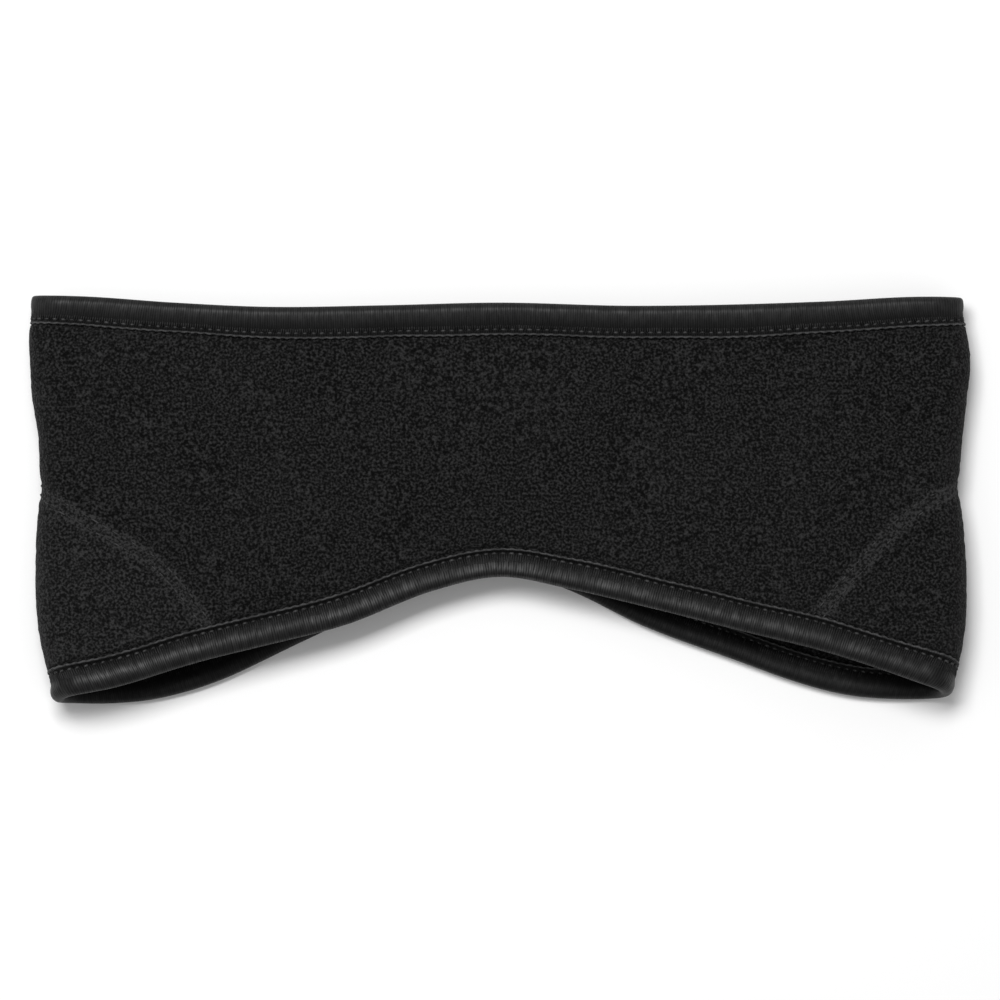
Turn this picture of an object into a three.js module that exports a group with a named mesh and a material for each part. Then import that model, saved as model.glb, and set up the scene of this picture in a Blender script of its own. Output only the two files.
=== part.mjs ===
// Ear warmer headband of fleece, bound top and bottom, lying flat on its back as a folded loop.
// Frame, in millimetres: +X across the loop from fold to fold, +Y from the ear lobes to the top edge,
// +Z up from the surface it lies on, origin under the middle of its outline.
// A point on the cloth is found from its station, the distance round the loop from the centre back
// by the right fold, the front and the left fold, and its height above the lowest point of the lobes.
import * as THREE from "three";

// Size of the loop as it lies.
const flatWidth = 250;
const sideHeight = 108.5;
const archRise = 33.8;
const topSag = 2.8;
const foldReach = 7;
const foldDraw = 6.4;
const layerSpacing = 10.4;

// Fleece, and how far the bindings and seams press it down.
const fleeceThickness = 2.6;
const grippedThickness = 1;
const seamThickness = 1.5;
const nap = 4;

// Binding folded over an edge: its width, its cloth at the stitched edge and at the crest of the roll.
const bindingWidth = 8;
const bindingCloth = 1;
const bindingCrest = 1.2;

// Ear panels, set behind the folds: the front of each is in the photograph's view.
const earSetBack = 16;
const earRise = 60;
const earSpanLeft = 70;
const earSpanRight = 65;

// Clearances between pieces, and the height of the ear panels' cut tips.
const clothGap = 0.3;
const lipClearance = 0.6;
const seamGap = 0.3;
const tipHeight = 1;

// Lower rim: its rise above the lobes as a share of archRise, at shares of the way round the loop.
const lowerRim = [
  { around: 0, rise: 1.06 },
  { around: 0.035, rise: 0.9 },
  { around: 0.075, rise: 0.61 },
  { around: 0.115, rise: 0.385 },
  { around: 0.155, rise: 0.18 },
  { around: 0.19, rise: 0.065 },
  { around: 0.22, rise: 0.035 },
  { around: 0.25, rise: 0.09 },
  { around: 0.285, rise: 0.205 },
  { around: 0.33, rise: 0.41 },
  { around: 0.37, rise: 0.56 },
  { around: 0.42, rise: 0.75 },
  { around: 0.465, rise: 0.91 },
  { around: 0.5, rise: 1 },
  { around: 0.535, rise: 0.89 },
  { around: 0.58, rise: 0.625 },
  { around: 0.62, rise: 0.47 },
  { around: 0.66, rise: 0.33 },
  { around: 0.71, rise: 0.135 },
  { around: 0.75, rise: 0.035 },
  { around: 0.782, rise: 0 },
  { around: 0.815, rise: 0.045 },
  { around: 0.855, rise: 0.2 },
  { around: 0.9, rise: 0.51 },
  { around: 0.955, rise: 0.9 },
];

// Top rim: its dip as a share of topSag, at shares of the way round the loop.
const topRim = [
  { around: 0, dip: 1.1 },
  { around: 0.12, dip: 1.2 },
  { around: 0.22, dip: 0.4 },
  { around: 0.25, dip: 0.15 },
  { around: 0.28, dip: 0.1 },
  { around: 0.33, dip: 0.55 },
  { around: 0.43, dip: 0.95 },
  { around: 0.5, dip: 0.65 },
  { around: 0.56, dip: 0.9 },
  { around: 0.62, dip: 1.05 },
  { around: 0.67, dip: 0.65 },
  { around: 0.72, dip: 0.05 },
  { around: 0.75, dip: 0 },
  { around: 0.78, dip: 0.4 },
  { around: 0.88, dip: 1.2 },
];

// Side folds: how far each is drawn in, as a share of foldDraw, at shares of sideHeight.
const foldOutline = [
  { level: 0, left: 1.05, right: 1 },
  { level: 0.04, left: 0.95, right: 0.8 },
  { level: 0.1, left: 0.65, right: 0.48 },
  { level: 0.17, left: 0.38, right: 0.26 },
  { level: 0.25, left: 0.25, right: 0.17 },
  { level: 0.4, left: 0.25, right: 0.25 },
  { level: 0.47, left: 0.33, right: 0.37 },
  { level: 0.53, left: 0.43, right: 0.5 },
  { level: 0.58, left: 0.39, right: 0.44 },
  { level: 0.66, left: 0.33, right: 0.3 },
  { level: 0.75, left: 0.12, right: 0.11 },
  { level: 0.84, left: 0.01, right: -0.05 },
  { level: 0.9, left: -0.02, right: 0.08 },
  { level: 0.96, left: 0.14, right: 0.38 },
  { level: 1, left: 0.2, right: 0.42 },
];

// Space between the middles of the two layers, as a share of layerSpacing, at shares of sideHeight.
const layerOpening = [
  { level: 0, middle: 1.06, fold: 1.5 },
  { level: 0.25, middle: 1.05, fold: 1.42 },
  { level: 0.5, middle: 1.04, fold: 1.3 },
  { level: 0.8, middle: 1.02, fold: 1.2 },
  { level: 1, middle: 1, fold: 1.02 },
];

// Ear seam: its height as a share of earRise, at shares of the ear's span from its apex.
const earSeam = [
  { along: 0, left: 1, right: 1 },
  { along: 0.25, left: 0.94, right: 0.96 },
  { along: 0.4, left: 0.847, right: 0.903 },
  { along: 0.55, left: 0.75, right: 0.798 },
  { along: 0.65, left: 0.686, right: 0.698 },
  { along: 0.75, left: 0.61, right: 0.583 },
  { along: 0.85, left: 0.485, right: 0.463 },
  { along: 0.93, left: 0.355, right: 0.348 },
  { along: 1, left: 0.225, right: 0.208 },
];

// Sizes that follow from those above.
const halfWidth = (flatWidth - fleeceThickness) / 2;
const halfStraight = halfWidth - foldReach;
const foldLength = Math.PI * foldReach;
const loopLength = 4 * halfStraight + 2 * foldLength;
const restHeight = fleeceThickness / 2;
const bindingInner = grippedThickness / 2 + clothGap;
const bindingLip = bindingInner + bindingCloth;
const bindingOuter = bindingInner + bindingCrest;
const gripEnd = bindingWidth + lipClearance;
const edgeInset = bindingCloth + seamGap;

const ears = [
  { side: "left", apex: 0.75 * loopLength + earSetBack, span: earSpanLeft },
  { side: "right", apex: 0.25 * loopLength - earSetBack, span: earSpanRight },
];

function smooth(share) {
  const t = Math.min(1, Math.max(0, share));
  return t * t * (3 - 2 * t);
}

function mix(a, b, share) {
  return a + (b - a) * share;
}

// A smooth curve through the rows of a table; a table that goes round the loop repeats after 1.
function curveThrough(rows, at, value, repeats = false) {
  const points = rows.map((row) => [row[at], row[value]]);
  if (repeats) {
    const [first, second] = points;
    const last = points[points.length - 1];
    points.unshift([last[0] - 1, last[1]]);
    points.push([first[0] + 1, first[1]], [second[0] + 1, second[1]]);
  }
  const rate = (i) => (points[i + 1][1] - points[i][1]) / (points[i + 1][0] - points[i][0]);
  const slopes = points.map((_, i) => {
    if (i === 0) return rate(0);
    if (i === points.length - 1) return rate(i - 1);
    return (rate(i - 1) + rate(i)) / 2;
  });
  return (position) => {
    const x = repeats ? position - Math.floor(position) : position;
    const end = points.length - 1;
    if (x >= points[end][0]) return points[end][1] + slopes[end] * (x - points[end][0]);
    if (x <= points[0][0]) return points[0][1];
    const i = points.findIndex((point) => point[0] > x) - 1;
    const step = points[i + 1][0] - points[i][0];
    const t = (x - points[i][0]) / step;
    const bend = t * t * (3 - 2 * t);
    return (
      points[i][1] * (1 - bend) +
      points[i + 1][1] * bend +
      step * t * (1 - t) * (slopes[i] * (1 - t) - slopes[i + 1] * t)
    );
  };
}

const rimRise = curveThrough(lowerRim, "around", "rise", true);
const topDip = curveThrough(topRim, "around", "dip", true);
const seamRise = {
  left: curveThrough(earSeam, "along", "left"),
  right: curveThrough(earSeam, "along", "right"),
};
const drawIn = {
  left: curveThrough(foldOutline, "level", "left"),
  right: curveThrough(foldOutline, "level", "right"),
};
const spacing = {
  middle: curveThrough(layerOpening, "level", "middle"),
  fold: curveThrough(layerOpening, "level", "fold"),
};

// The two rims, as heights at a station. Each knows which way the cloth lies from it.
const rims = {
  lower: { height: (station) => archRise * rimRise(station / loopLength), inward: 1 },
  top: { height: (station) => sideHeight - topSag * topDip(station / loopLength), inward: -1 },
};

// Signed distance along the cloth from station b to station a, the short way round the loop.
function apart(a, b) {
  const d = (a - b) / loopLength;
  return (d - Math.round(d)) * loopLength;
}

function slopeOf(heightAt, station) {
  const reach = 0.5;
  return Math.atan2(heightAt(station + reach) - heightAt(station - reach), 2 * reach);
}

function seamHeight(ear, station) {
  return earRise * seamRise[ear.side](Math.abs(apart(station, ear.apex)) / ear.span);
}

function distanceToRims(station, height) {
  const away = Object.values(rims).map(
    (rim) => (height - rim.height(station)) * rim.inward * Math.cos(slopeOf(rim.height, station)),
  );
  return Math.min(...away);
}

// Distance to the nearest ear seam, or to the seam that closes the band at the centre back.
function distanceToSeams(station, height) {
  const away = [Math.abs(apart(station, 0))];
  for (const ear of ears) {
    if (Math.abs(apart(station, ear.apex)) > ear.span * 1.1) continue;
    const lean = slopeOf((s) => seamHeight(ear, s), station);
    away.push(Math.abs(height - seamHeight(ear, station)) * Math.cos(lean));
  }
  return Math.min(...away);
}

function fleeceAt(station, height) {
  const pastBinding = distanceToRims(station, height) - gripEnd;
  const risen = mix(grippedThickness, fleeceThickness, smooth(pastBinding / nap));
  const atSeam = mix(seamThickness, fleeceThickness, smooth(distanceToSeams(station, height) / nap));
  return Math.min(risen, atSeam);
}

// Where a station stands on the flattened loop: how far across, and how far up from back to front.
function loopSection(station) {
  const s = station - Math.floor(station / loopLength) * loopLength;
  const rightFold = halfStraight + foldLength;
  const leftFold = rightFold + 2 * halfStraight;
  if (s < halfStraight) return { across: s, rise: 0 };
  if (s < rightFold) {
    const turn = (s - halfStraight) / foldReach - Math.PI / 2;
    return { across: halfStraight + foldReach * Math.cos(turn), rise: (1 + Math.sin(turn)) / 2 };
  }
  if (s < leftFold) return { across: rightFold + halfStraight - s, rise: 1 };
  if (s < leftFold + foldLength) {
    const turn = Math.PI / 2 - (s - leftFold) / foldReach;
    return { across: -halfStraight - foldReach * Math.cos(turn), rise: (1 + Math.sin(turn)) / 2 };
  }
  return { across: s - loopLength, rise: 0 };
}

// The middle of the cloth. The back lies on the surface, lifted a little where the bindings are thicker.
function middleOf(station, height) {
  const { across, rise } = loopSection(station);
  const level = height / sideHeight;
  const out = Math.abs(across) / halfStraight;
  const drawn = foldDraw * drawIn[across < 0 ? "left" : "right"](level) * smooth(2 * out - 1);
  const open = layerSpacing * mix(spacing.middle(level), spacing.fold(level), smooth(out));
  const pastBinding = distanceToRims(station, height) - gripEnd;
  const lift = mix(bindingOuter, restHeight, smooth(pastBinding / (2 * nap)));
  return new THREE.Vector3(
    across - Math.sign(across) * drawn,
    height - sideHeight / 2,
    mix(lift, restHeight + open, rise),
  );
}

// A point on the cloth, moved outwards from its middle. Nothing goes below the surface it lies on.
function clothPoint(station, height, outwards) {
  const reach = 0.2;
  const along = middleOf(station + reach, height).sub(middleOf(station - reach, height));
  const upwards = middleOf(station, height + reach).sub(middleOf(station, height - reach));
  const normal = along.cross(upwards).normalize().negate();
  const point = middleOf(station, height).addScaledVector(normal, outwards);
  point.z = Math.max(0, point.z);
  return point;
}

// Stations round the loop: even along the two layers, close together round the folds.
const straightSteps = 28;
const foldSteps = 10;

function loopStations() {
  const marks = [];
  for (let i = 0; i < straightSteps / 2; i++) marks.push((i / straightSteps) * 2 * halfStraight);
  for (let i = 0; i < foldSteps; i++) marks.push(halfStraight + (i / foldSteps) * foldLength);
  const front = halfStraight + foldLength;
  for (let i = 0; i < straightSteps; i++) marks.push(front + (i / straightSteps) * 2 * halfStraight);
  const left = front + 2 * halfStraight;
  for (let i = 0; i < foldSteps; i++) marks.push(left + (i / foldSteps) * foldLength);
  const back = left + foldLength;
  for (let i = 0; i < straightSteps / 2; i++) marks.push(back + (i / straightSteps) * 2 * halfStraight);
  return marks;
}

// The distance from an ear's apex at which its panel has narrowed to a given height, on one side.
function earReach(ear, direction, height) {
  const panelHeight = (distance) => {
    const station = ear.apex + direction * distance;
    return fromSeam(ear, station, -seamGap / 2) - fromRim(rims.lower, station, edgeInset);
  };
  let near = ear.span / 2;
  let far = ear.span * 1.6;
  for (let i = 0; i < 40; i++) {
    const middle = (near + far) / 2;
    if (panelHeight(middle) > height) near = middle;
    else far = middle;
  }
  return near;
}

function mod(i, n) {
  return ((i % n) + n) % n;
}

// A closed mesh from points and four-cornered faces, turned so that its faces point outwards.
function closedMesh(points, quads) {
  const triangles = quads.flatMap(([a, b, c, d]) => [a, b, c, a, c, d]);
  let volume = 0;
  for (let i = 0; i < triangles.length; i += 3) {
    const [a, b, c] = [points[triangles[i]], points[triangles[i + 1]], points[triangles[i + 2]]];
    volume += a.dot(new THREE.Vector3().crossVectors(b, c));
  }
  if (volume < 0) triangles.reverse();
  const geometry = new THREE.BufferGeometry().setFromPoints(points);
  geometry.setIndex(triangles);
  geometry.computeVertexNormals();
  return geometry;
}

// A wall of cloth over columns of heights, one column to a station, with both faces and its edges.
function clothWall(columns, closed) {
  const rowCount = columns[0].heights.length;
  const points = [];
  for (const side of [1, -1]) {
    for (const { station, heights } of columns) {
      for (const height of heights) {
        points.push(clothPoint(station, height, (side * fleeceAt(station, height)) / 2));
      }
    }
  }
  const layer = columns.length * rowCount;
  const index = (side, i, j) => side * layer + mod(i, columns.length) * rowCount + j;
  const quads = [];
  const strips = closed ? columns.length : columns.length - 1;
  for (let i = 0; i < strips; i++) {
    for (let j = 0; j < rowCount - 1; j++) {
      quads.push([index(0, i, j), index(0, i + 1, j), index(0, i + 1, j + 1), index(0, i, j + 1)]);
      quads.push([index(1, i, j), index(1, i, j + 1), index(1, i + 1, j + 1), index(1, i + 1, j)]);
    }
    const top = rowCount - 1;
    quads.push([index(0, i, 0), index(1, i, 0), index(1, i + 1, 0), index(0, i + 1, 0)]);
    quads.push([index(0, i, top), index(0, i + 1, top), index(1, i + 1, top), index(1, i, top)]);
  }
  if (!closed) {
    const end = columns.length - 1;
    for (let j = 0; j < rowCount - 1; j++) {
      quads.push([index(0, 0, j), index(0, 0, j + 1), index(1, 0, j + 1), index(1, 0, j)]);
      quads.push([index(0, end, j), index(1, end, j), index(1, end, j + 1), index(0, end, j + 1)]);
    }
  }
  return closedMesh(points, quads);
}

// Distances from a rim at which rows of a column stand: in the binding's grip, and just past it.
const rimRows = [bindingWidth * 0.6, gripEnd, gripEnd + nap / 2, gripEnd + nap];
const seamRows = [nap / 2, nap];

function fromRim(rim, station, distance) {
  return rim.height(station) + (rim.inward * distance) / Math.cos(slopeOf(rim.height, station));
}

function fromSeam(ear, station, distance) {
  const lean = slopeOf((s) => seamHeight(ear, s), station);
  return seamHeight(ear, station) + distance / Math.cos(lean);
}

// The main band: a closed loop from the top rim down to the lower rim, cut away over the ear panels.
function mainBand(stations) {
  const columns = stations.map((station) => {
    let edge = fromRim(rims.lower, station, edgeInset);
    for (const ear of ears) {
      if (Math.abs(apart(station, ear.apex)) > ear.span * 1.6) continue;
      edge = Math.max(edge, fromSeam(ear, station, seamGap / 2));
    }
    const lower = rimRows.map((distance, i) =>
      Math.max(fromRim(rims.lower, station, distance), edge + ((i + 1) / rimRows.length) * nap),
    );
    const upper = rimRows.map((distance) => fromRim(rims.top, station, distance)).reverse();
    const from = lower[lower.length - 1];
    const middle = [1 / 3, 2 / 3].map((share) => mix(from, upper[0], share));
    return { station, heights: [edge, ...lower, ...middle, ...upper, fromRim(rims.top, station, edgeInset)] };
  });
  return clothWall(columns, true);
}

// An ear panel: a half moon between the lower rim and its seam, pointed at both ends.
function earPanel(ear, stations) {
  const back = -earReach(ear, -1, tipHeight);
  const front = earReach(ear, 1, tipHeight);
  const within = (distance) => distance > back + 0.01 && distance < front - 0.01;
  const inside = stations.map((s) => apart(s, ear.apex)).filter(within);
  const marks = [back, ...inside.sort((a, b) => a - b), front];
  const rowCount = rimRows.length + seamRows.length + 2;
  const columns = marks.map((distance) => {
    const station = ear.apex + distance;
    const edge = fromRim(rims.lower, station, edgeInset);
    const seam = fromSeam(ear, station, -seamGap / 2);
    const step = (seam - edge) / rowCount;
    const lower = rimRows.map((distance, i) =>
      Math.min(fromRim(rims.lower, station, distance), edge + (i + 1) * step),
    );
    const upper = seamRows.map((distance, i) => seam - Math.min(distance, (i + 1) * step)).reverse();
    const middle = (lower[lower.length - 1] + upper[0]) / 2;
    return { station, heights: [edge, ...lower, middle, ...upper, seam] };
  });
  return clothWall(columns, false);
}

// Section of a binding, from the lip of its outer leg round the rim to the lip of its inner leg.
// away is the distance from the rim as a share of bindingWidth, and out the distance from the middle.
function bindingSection() {
  const outer = [
    { away: 1, out: bindingLip },
    { away: 0.75, out: mix(bindingLip, bindingOuter, 0.5) },
    { away: 0.45, out: bindingOuter },
    { away: 0.2, out: bindingOuter * 0.88 },
    { away: 0.06, out: bindingOuter * 0.55 },
    { away: 0, out: bindingOuter * 0.18 },
  ];
  const inner = [
    { away: 1, out: bindingInner + clothGap / 2 },
    { away: 0.6, out: bindingInner },
    { away: bindingCloth / bindingWidth, out: bindingInner },
  ];
  const mirrored = (rows) => rows.map(({ away, out }) => ({ away, out: -out })).reverse();
  return [...outer, ...mirrored(outer), ...mirrored(inner).reverse(), ...inner.reverse()];
}

// A binding: its section carried round the loop, square to the rim, on both faces of the cloth.
function binding(rim, stations) {
  const section = bindingSection();
  const points = [];
  for (const station of stations) {
    const slope = slopeOf(rim.height, station);
    for (const { away, out } of section) {
      const distance = away * bindingWidth * rim.inward;
      const along = station - distance * Math.sin(slope);
      points.push(clothPoint(along, rim.height(station) + distance * Math.cos(slope), out));
    }
  }
  const index = (i, j) => mod(i, stations.length) * section.length + mod(j, section.length);
  const quads = [];
  for (let i = 0; i < stations.length; i++) {
    for (let j = 0; j < section.length; j++) {
      quads.push([index(i, j), index(i + 1, j), index(i + 1, j + 1), index(i, j + 1)]);
    }
  }
  return closedMesh(points, quads);
}

const fleece = new THREE.MeshStandardMaterial({ color: 0x1e1e1d, roughness: 0.97, metalness: 0 });
const stretchTrim = new THREE.MeshStandardMaterial({ color: 0x2b2b2d, roughness: 0.7, metalness: 0 });

function piece(name, geometry, material) {
  const mesh = new THREE.Mesh(geometry, material);
  mesh.name = name;
  return mesh;
}

// Extra stations where each ear panel ends, where its seam comes out from under the binding, and just past it.
const panelMarks = ears.flatMap((ear) =>
  [tipHeight, gripEnd - edgeInset, gripEnd + nap - edgeInset].flatMap((height) =>
    [1, -1].map((direction) => mod(ear.apex + direction * earReach(ear, direction, height), loopLength)),
  ),
);
const evenStations = loopStations().filter((s) => panelMarks.every((m) => Math.abs(apart(s, m)) > 1.5));
const stations = [...evenStations, ...panelMarks].sort((a, b) => a - b);

const headband = new THREE.Group();
headband.name = "ear_warmer_headband";
headband.add(piece("main_band", mainBand(stations), fleece));
for (const ear of ears) headband.add(piece(`ear_panel_${ear.side}`, earPanel(ear, stations), fleece));
headband.add(piece("top_binding", binding(rims.top, evenStations), stretchTrim));
headband.add(piece("bottom_binding", binding(rims.lower, stations), stretchTrim));

export default headband;
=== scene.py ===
"""An ear warmer headband of black fleece with bound edges, lying flat on its back layer, seen from above.

The cloth's surface is found as in the model: from the station, the distance round the loop from the
centre back, and the height above the ear lobes. Lengths are in millimetres until a mesh is made.
"""
import itertools
import math

import bpy
import numpy as np
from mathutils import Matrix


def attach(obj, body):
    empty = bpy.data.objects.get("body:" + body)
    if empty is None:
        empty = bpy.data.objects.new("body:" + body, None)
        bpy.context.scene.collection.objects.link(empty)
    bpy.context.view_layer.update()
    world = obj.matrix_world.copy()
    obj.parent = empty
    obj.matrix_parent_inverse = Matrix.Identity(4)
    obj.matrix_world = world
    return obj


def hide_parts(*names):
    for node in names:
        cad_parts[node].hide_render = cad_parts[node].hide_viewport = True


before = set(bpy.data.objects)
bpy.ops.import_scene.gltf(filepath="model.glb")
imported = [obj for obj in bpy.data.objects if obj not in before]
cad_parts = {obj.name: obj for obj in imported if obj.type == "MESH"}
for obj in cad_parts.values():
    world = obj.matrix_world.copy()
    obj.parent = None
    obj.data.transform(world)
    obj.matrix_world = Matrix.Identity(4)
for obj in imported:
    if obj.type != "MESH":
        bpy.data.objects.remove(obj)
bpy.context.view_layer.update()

MM = 0.001

# Size of the loop as it lies: across and from lobes to top edge, the rise of the lower rim at the brow,
# the dip of the top rim, the folds' radius and how far they are drawn in, and the space of the layers.
FLAT_WIDTH = 250.0
SIDE_HEIGHT = 108.5
ARCH_RISE = 33.8
TOP_SAG = 2.8
FOLD_REACH = 7.0
FOLD_DRAW = 6.4
LAYER_SPACING = 10.4

# Thickness of the fleece, free and gripped in a binding. The back layer lies on the outer faces of the
# bindings, and comes down to the surface from the end of their grip over the reach of its lift.
FLEECE = 2.6
GRIPPED = 1.0
GRIP_END = 8.6
LIFT_REACH = 8.0
# Width of a binding, and how far its lining and its outer face stand from the middle of the fleece.
BINDING_WIDTH = 8.0
BINDING_INNER = 0.8
BINDING_OUTER = 2.0
# How far the fleece's edge lies inside a rim, the gap at an ear seam, and the height of a panel's tip.
EDGE_INSET = 1.3
SEAM_GAP = 0.02
TIP_HEIGHT = 1.0

# Ribs of the stretch knit, stitches of the bindings and of the ear seams, and how far from an ear seam
# its two rows of stitches lie.
RIB_PITCH = 0.62
STITCH_PITCH = 2.3
SEAM_STITCH_PITCH = 2.8
SEAM_ROW = 1.25

# Ears: how far a seam's apex lies behind the fold, how high, and how far the seam spans to each side.
EAR_SET_BACK = 16.0
EAR_RISE = 60.0
EAR_SPAN = {"left": 70.0, "right": 65.0}
# Shares of the span within which a place is near the seam, and past which the panel has ended.
NEAR_SEAM = 1.1
PAST_SEAM = 1.6
# How much lighter each ear panel's fleece is painted, as a share of a seam strip's lightening.
EAR_LIGHTENING = {"left": 0.25, "right": 0.0}

# Rise of the lower rim and dip of the top rim, by the share of the way round the loop.
LOWER_RIM = [
    (0, 1.06), (0.035, 0.9), (0.075, 0.61), (0.115, 0.385), (0.155, 0.18), (0.19, 0.065),
    (0.22, 0.033), (0.237, 0.038), (0.25, 0.066), (0.27, 0.155), (0.285, 0.225), (0.33, 0.418),
    (0.37, 0.56), (0.42, 0.75), (0.465, 0.91), (0.5, 1), (0.535, 0.89), (0.58, 0.625), (0.62, 0.47),
    (0.66, 0.33), (0.71, 0.138), (0.735, 0.068), (0.75, 0.016), (0.765, 0.002), (0.785, 0),
    (0.815, 0.045), (0.855, 0.2), (0.9, 0.51), (0.955, 0.9),
]
TOP_RIM = [
    (0, 1.1), (0.12, 1.2), (0.22, 0.4), (0.25, 0.15), (0.28, 0.1), (0.33, 0.55), (0.43, 0.95),
    (0.5, 0.65), (0.56, 0.9), (0.62, 1.05), (0.67, 0.65), (0.72, 0.05), (0.75, 0), (0.78, 0.4),
    (0.88, 1.2),
]
# By the share of the way up: the draw of the left and right folds, then the opening of the layers at the
# middle and at the folds.
FOLD_OUTLINE = [
    (0, 1.05, 1), (0.04, 0.95, 0.8), (0.1, 0.65, 0.48), (0.17, 0.38, 0.26), (0.25, 0.25, 0.17),
    (0.4, 0.25, 0.25), (0.47, 0.33, 0.37), (0.53, 0.43, 0.5), (0.58, 0.39, 0.44), (0.66, 0.33, 0.3),
    (0.75, 0.12, 0.11), (0.84, 0.01, -0.05), (0.9, -0.02, 0.08), (0.96, 0.08, 0.33), (1, 0.19, 0.4),
]
LAYER_OPENING = [(0, 1.06, 1.5), (0.25, 1.05, 1.42), (0.5, 1.04, 1.3), (0.8, 1.02, 1.2), (1, 1, 1.02)]
# Rise of the left and right ear seams, by the share of their span from the apex.
EAR_SEAM = [
    (0, 1, 1), (0.25, 0.94, 0.96), (0.4, 0.847, 0.903), (0.55, 0.75, 0.798), (0.65, 0.686, 0.698),
    (0.75, 0.61, 0.583), (0.85, 0.485, 0.463), (0.93, 0.355, 0.348), (1, 0.225, 0.208),
]
# Width of the bindings to their lips, as a share of BINDING_WIDTH, by the share of the way round.
TOP_WIDTH = [
    (0, 1), (0.2, 0.98), (0.25, 0.97), (0.281, 1.01), (0.302, 1.04), (0.323, 1.05), (0.344, 1.07),
    (0.364, 1.115), (0.385, 1.13), (0.406, 1.095), (0.448, 1.09), (0.469, 1.075), (0.5, 1.085),
    (0.531, 1.1), (0.552, 1.06), (0.573, 1.085), (0.594, 1.085), (0.614, 1.07), (0.635, 1.045),
    (0.656, 1.005), (0.698, 1.01), (0.718, 0.98), (0.75, 0.95), (0.8, 0.98),
]
LOWER_WIDTH = [
    (0, 1), (0.2, 1), (0.25, 1.04), (0.271, 1.08), (0.292, 1.04), (0.312, 1.035), (0.333, 1.07),
    (0.354, 1.07), (0.375, 1.045), (0.396, 1.05), (0.417, 1.02), (0.437, 1.035), (0.458, 1.035),
    (0.479, 0.99), (0.5, 0.955), (0.521, 0.97), (0.541, 0.995), (0.562, 1.035), (0.583, 1.065),
    (0.604, 1.06), (0.646, 1.06), (0.666, 1.05), (0.687, 1.02), (0.708, 1.03), (0.74, 1.02), (0.8, 1),
]
# How far the roll of a binding is turned towards its rim, by the share of the way round.
TOP_TURN = [(0, 0.4), (0.5, 0.4)]
LOWER_TURN = [
    (0, 0.5), (0.27, 0.3), (0.4, 0.4), (0.46, 0.7), (0.5, 0.9), (0.55, 0.6), (0.6, 0.1), (0.65, 0),
    (0.8, 0),
]


def smooth(share):
    t = np.clip(share, 0, 1)
    return t * t * (3 - 2 * t)


def mix(a, b, share):
    return a + (b - a) * share


def curve_through(rows, column=1, repeats=False):
    """A smooth curve through a column of a table. One that goes round the loop repeats after 1."""
    xs = np.array([row[0] for row in rows], float)
    ys = np.array([row[column] for row in rows], float)
    if repeats:
        xs = np.concatenate([[xs[-1] - 1], xs, [xs[0] + 1, xs[1] + 1]])
        ys = np.concatenate([[ys[-1]], ys, [ys[0], ys[1]]])
    rate = np.diff(ys) / np.diff(xs)
    slopes = np.concatenate([[rate[0]], (rate[1:] + rate[:-1]) / 2, [rate[-1]]])

    def value(x):
        x = np.asarray(x, float)
        x = x - np.floor(x) if repeats else x
        i = np.clip(np.searchsorted(xs, x, "right") - 1, 0, len(xs) - 2)
        step = xs[i + 1] - xs[i]
        t = np.clip((x - xs[i]) / step, 0, 1)
        bend = smooth(t)
        hump = step * t * (1 - t) * (slopes[i] * (1 - t) - slopes[i + 1] * t)
        past = slopes[-1] * np.maximum(x - xs[-1], 0)
        return ys[i] * (1 - bend) + ys[i + 1] * bend + hump + past

    return value


HALF_STRAIGHT = (FLAT_WIDTH - FLEECE) / 2 - FOLD_REACH
FOLD_LENGTH = math.pi * FOLD_REACH
LOOP = 4 * HALF_STRAIGHT + 2 * FOLD_LENGTH
REST_HEIGHT = FLEECE / 2
FOLD_STATIONS = {"right": 0.25 * LOOP, "left": 0.75 * LOOP}
EAR_APEX = {"left": FOLD_STATIONS["left"] + EAR_SET_BACK, "right": FOLD_STATIONS["right"] - EAR_SET_BACK}

rim_rise = curve_through(LOWER_RIM, repeats=True)
rim_dip = curve_through(TOP_RIM, repeats=True)
fold_draw = {"left": curve_through(FOLD_OUTLINE, 1), "right": curve_through(FOLD_OUTLINE, 2)}
opening = {"middle": curve_through(LAYER_OPENING, 1), "fold": curve_through(LAYER_OPENING, 2)}
seam_rise = {"left": curve_through(EAR_SEAM, 1), "right": curve_through(EAR_SEAM, 2)}


def slope_angle(height, station):
    """The lean of a line on the cloth, from its heights half a millimetre to each side of a station."""
    half_step = 0.5
    rise = height(station + half_step) - height(station - half_step)
    return np.arctan2(rise, 2 * half_step)


class Rim:
    """One edge of the loop: its height at a station, and which way the cloth lies from it."""

    def __init__(self, height, inward, widths, turns):
        self.height, self.inward = height, inward
        self.widths = curve_through(widths, repeats=True)
        self.turns = curve_through(turns, repeats=True)

    def lean(self, station):
        return slope_angle(self.height, station)

    def height_at(self, station, distance):
        return self.height(station) + self.inward * distance / np.cos(self.lean(station))

    def distance(self, station, height):
        return (height - self.height(station)) * self.inward * np.cos(self.lean(station))

    def width(self, station):
        return BINDING_WIDTH * self.widths(station / LOOP)


LOWER = Rim(lambda station: ARCH_RISE * rim_rise(station / LOOP), 1, LOWER_WIDTH, LOWER_TURN)
TOP = Rim(lambda station: SIDE_HEIGHT - TOP_SAG * rim_dip(station / LOOP), -1, TOP_WIDTH, TOP_TURN)


def apart(a, b):
    """Signed distance along the cloth from station b to station a, the short way round the loop."""
    turns = (a - b) / LOOP
    return (turns - np.round(turns)) * LOOP


def seam_height(side, station):
    return EAR_RISE * seam_rise[side](np.abs(apart(station, EAR_APEX[side])) / EAR_SPAN[side])


def seam_lean(side, station):
    return slope_angle(lambda place: seam_height(side, place), station)


def seam_height_at(side, station, distance):
    return seam_height(side, station) + distance / np.cos(seam_lean(side, station))


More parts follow.
